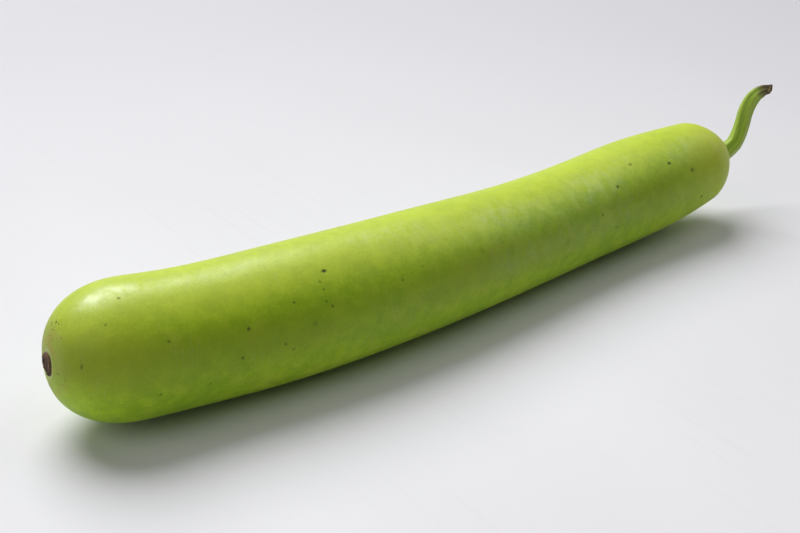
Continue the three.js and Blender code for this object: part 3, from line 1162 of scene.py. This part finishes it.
def stem_material(stem):
    """Ribbed bark in strands, which turns olive and brown towards the cut, with pith inside."""
    material, tree, shader = new_material("ribbed green stalk")
    straight = attribute(tree, STRAIGHT_PLACE)
    share, dried, heart = parts_of(attribute(tree, AGE))
    _, across, over = parts_of(straight)
    angle = calculate("ARCTAN2", over, across)
    rib = calculate("COSINE", stem.ribs * (angle + stem.rib_twist * share)) * 0.5 + 0.5
    fine = patches(straight, 0.0011, 3.0, 4.0, (8.0, 1.0, 1.0))
    broad = patches(straight, 0.0035, 3.0, 11.0, (4.0, 1.0, 1.0))
    bark = blend(eased(rib, 0.0, 0.7) * 0.5 + broad * 0.5, stem.groove_green, stem.green)
    bark = blend(fine * 0.40 + eased(rib, 0.7, 1.0) * 0.30, bark, stem.rib_green)
    wilted = dried + (broad - 0.5) * 0.30
    bark = blend(eased(wilted, 0.05, 0.5), bark, stem.wilted)
    bark = blend(eased(wilted, 0.42, 0.85), bark, stem.dried)
    bark = blend(eased(heart + (fine - 0.5) * 0.2, 0.18, 0.36), bark, stem.pith)
    dress(tree, shader, {
        "Base Color": bark,
        "Roughness": 0.48 + fine * 0.18 + dried * 0.2,
        "Normal": bumped(fine * 0.00012 + broad * 0.0001),
    })
    return material


def hair_material(stem):
    """Pale hairs, each a little greener or paler than the next."""
    material, tree, shader = new_material("pale down")
    tone = put(tree, "ShaderNodeTexNoise", {"Vector": object_place(tree), "Scale": 400.0})
    dress(tree, shader, {
        "Base Color": blend(tone, stem.rib_green, stem.hair_tip),
        "Roughness": 0.6,
    })
    return material


def crust_material(scar, middle):
    """Dark cork in clumps and crumbs, with specks of dried tissue and painted light that makes it
    paler above its middle.
    """
    material, tree, shader = new_material("crumbled cork")
    place = object_place(tree)
    _, _, height = parts_of(place)
    # Painted light: the crust is paler above its middle and darker below it, and its pale specks show
    # more on top, as the light falls from above.
    lit_from_above = eased(height, middle - scar.radius, middle + scar.radius)
    clumps, crumbs = patches(place, 0.0030, 4.0, 5.0), patches(place, 0.0009, 4.0, 8.0)
    specks = dots(place, 0.0024, 0.0012, 0.7, 6.0)
    tone = eased(clumps * 0.4 + crumbs * 0.4 + lit_from_above * 0.4, 0.30, 0.95)
    cork = blend(tone, scar.dark, scar.brown)
    dress(tree, shader, {
        "Base Color": blend(specks * (lit_from_above * 0.6 + 0.3), cork, scar.pale),
        "Roughness": 0.75 + clumps * 0.2,
        "Normal": bumped(crumbs * 0.0003 + specks * 0.0002),
    })
    return material


def floor_material(stage):
    """A pale top with faint clouds and streaks and a painted pool of light, which glows far off, where
    no lamp reaches.
    """
    material, tree, shader = new_material("pale tabletop")
    place = object_place(tree)
    lines = eased(patches(place, 0.012, 4.0, 17.0, (0.3, 12.0, 1.0)), 0.75, 1.0)
    streaks = lines * patches(place, 0.15, 4.0, 18.0)
    clouds = patches(place, 0.12, 4.0, 8.0, (1.0, 2.0, 1.0))
    # Painted light: a pool of light in the floor's colour, brightest round one spot and darker further
    # off.
    fade = eased(distance_from(place, stage.brightest), 0.0, stage.fade)
    board = blend(fade, stage.floor, stage.far_floor)
    far = eased(calculate("LENGTH", place), stage.glow_from, stage.glow_to)
    dress(tree, shader, {
        "Base Color": blend(clouds * 0.12 + streaks * 0.10, board, stage.far_floor),
        "Roughness": 0.6,
        "Emission Color": blend(far, paint("000000"), stage.far_floor),
        "Emission Strength": stage.far_glow,
    })
    return material


# ---- the stage -----------------------------------------------------------------------------------


def lay_floor(stage):
    """A flat floor just under the fruit."""
    half = stage.floor_size / 2
    mesh = bpy.data.meshes.new("floor")
    corners = [(-half, -half, 0), (half, -half, 0), (half, half, 0), (-half, half, 0)]
    mesh.from_pydata(corners, [], [(0, 1, 2, 3)])
    mesh.materials.append(floor_material(stage))
    floor = add_object("floor", mesh)
    floor.location.z = -FLOOR_GAP


def hang_lamp(stage, name, power, elevation, azimuth):
    """A wide round light that points at the origin."""
    light = bpy.data.lights.new(name, "AREA")
    light.shape = "DISK"
    light.size = stage.lamp_size
    light.energy = power
    lamp = add_object(name, light)
    level = math.cos(elevation) * stage.lamp_distance
    height = math.sin(elevation) * stage.lamp_distance
    lamp.location = (level * math.sin(azimuth), level * math.cos(azimuth), height)
    lamp.rotation_euler = (elevation - math.pi / 2, 0, -azimuth)


def light_sky(stage):
    """Soft light from all round, stronger low down and weaker in front."""
    world = bpy.data.worlds.new("pale room")
    world.use_nodes = True
    tree = world.node_tree
    background = tree.nodes["Background"]
    _, back, height = parts_of(object_place(tree))
    by_height = eased(
        height, stage.sky_low, stage.sky_high, stage.horizon_strength, stage.zenith_strength
    )
    by_side = eased(back, stage.sky_front, stage.sky_back, stage.front_share, 1.0)
    dress(tree, background, {"Color": stage.sky, "Strength": by_height * by_side})
    bpy.context.scene.world = world


def place_camera(stage):
    """The camera that the scene is seen with."""
    view = bpy.data.cameras.new("camera")
    view.lens = stage.lens
    view.sensor_width = SENSOR_WIDTH
    view.clip_start = 0.01
    camera = add_object("camera", view)
    camera.location = stage.camera_place
    camera.rotation_euler = (math.pi / 2 - stage.camera_elevation, 0, -stage.camera_azimuth)
    bpy.context.scene.camera = camera


# ---- operators -----------------------------------------------------------------------------------


def stands_for(piece, node):
    """The finished piece rides on the body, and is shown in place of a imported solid."""
    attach(piece, BODY)
    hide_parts(node)


class GrowSkin(bpy.types.Operator):
    """Grows the skin of the fruit round its bowed axis"""

    bl_idname = "gourd.grow_skin"
    bl_label = "Grow the Skin"

    def execute(self, context):
        fruit = context.scene.gourd_fruit
        skin = grow(
            fruit_line(fruit), skin_tree(),
            {"Rings": fruit.rings, "Sides": fruit.sides, "Oval": fruit.oval, "Ripple": fruit.ripple,
             "Lump Height": fruit.lump_height, "Lump Size": fruit.lump_size, "Seed": fruit.seed,
             **stem_seat(fruit).inputs("Seat"), **flower_place(fruit).inputs("Scar"),
             "Material": skin_material(fruit)},
        )
        stands_for(skin, "fruit")
        return {"FINISHED"}


class GrowStem(bpy.types.Operator):
    """Grows the ribbed stem from its seat to its dried cut end"""

    bl_idname = "gourd.grow_stem"
    bl_label = "Grow the Stem"

    def execute(self, context):
        stem = context.scene.gourd_stem
        piece = grow(
            stem_line(context.scene.gourd_fruit, stem), stem_tree(),
            {"Rings": stem.rings, "Sides": stem.sides, "Ribs": float(stem.ribs),
             "Rib Height": stem.rib_height, "Rib Twist": stem.rib_twist, "Wrinkle": stem.wrinkle,
             "Seed": stem.seed, "Material": stem_material(stem)},
        )
        stands_for(piece, "stem")
        return {"FINISHED"}


class GrowHairs(bpy.types.Operator):
    """Sets short pale hairs on the green part of the stem"""

    bl_idname = "gourd.grow_hairs"
    bl_label = "Grow the Hairs"

    def execute(self, context):
        stem = context.scene.gourd_stem
        hairs = grow(
            add_object("stem_hairs", bpy.data.objects["gourd_stem"].data.copy()), bristle_tree(),
            {"Density": stem.hairs, "Length": stem.hair_length, "Seed": stem.seed,
             "Material": hair_material(stem)},
        )
        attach(hairs, BODY)
        return {"FINISHED"}


class GrowCrust(bpy.types.Operator):
    """Grows the crumbled crust that the flower left"""

    bl_idname = "gourd.grow_crust"
    bl_label = "Grow the Flower Crust"

    def execute(self, context):
        fruit, scar = context.scene.gourd_fruit, context.scene.gourd_scar
        place = flower_place(fruit)
        piece = grow(
            crust_line(place, scar), crust_tree(),
            {"Rings": scar.rings, "Sides": scar.sides, "Oval": scar.ragged, "Ripple": scar.ragged,
             "Outward": place.outward, "Crumble": scar.crumble, "Crumb Size": scar.crumb_size,
             "Seed": scar.seed, "Material": crust_material(scar, place.centre[2])},
        )
        stands_for(piece, "blossom_scar")
        return {"FINISHED"}


class SetStage(bpy.types.Operator):
    """Lays the floor, hangs the soft light and sets the camera"""

    bl_idname = "gourd.set_stage"
    bl_label = "Set the Stage"

    def execute(self, context):
        stage = context.scene.gourd_stage
        lay_floor(stage)
        hang_lamp(stage, "soft key", stage.key_power, stage.key_elevation, stage.key_azimuth)
        for name, turn in (("soft right", stage.side_azimuth), ("soft left", -stage.side_azimuth)):
            hang_lamp(stage, name, stage.side_power, stage.side_elevation, turn)
        light_sky(stage)
        place_camera(stage)
        context.scene.view_settings.view_transform = "Standard"
        return {"FINISHED"}


class GourdPanel(bpy.types.Panel):
    """Lists the steps in the 3D view's sidebar"""

    bl_idname = "VIEW3D_PT_gourd"
    bl_label = "Bottle Gourd"
    bl_space_type = "VIEW_3D"
    bl_region_type = "UI"
    bl_category = "Gourd"

    def draw(self, context):
        for step in STEPS:
            self.layout.operator(step.bl_idname)


STEPS = (GrowSkin, GrowStem, GrowHairs, GrowCrust, SetStage)
SETTINGS = {
    "gourd_fruit": FruitSettings,
    "gourd_stem": StemSettings,
    "gourd_scar": ScarSettings,
    "gourd_stage": StageSettings,
}


def register():
    """Registers every class and hangs the settings on the scene."""
    for kind in (*SETTINGS.values(), *STEPS, GourdPanel):
        bpy.utils.register_class(kind)
    for name, kind in SETTINGS.items():
        setattr(bpy.types.Scene, name, PointerProperty(type=kind))


def unregister():
    """Takes the settings and the classes away again."""
    for name in SETTINGS:
        delattr(bpy.types.Scene, name)
    for kind in reversed((*SETTINGS.values(), *STEPS, GourdPanel)):
        bpy.utils.unregister_class(kind)


def main():
    """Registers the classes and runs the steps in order."""
    register()
    bpy.ops.gourd.grow_skin()
    bpy.ops.gourd.grow_stem()
    bpy.ops.gourd.grow_hairs()
    bpy.ops.gourd.grow_crust()
    bpy.ops.gourd.set_stage()


if __name__ == "__main__":
    main()
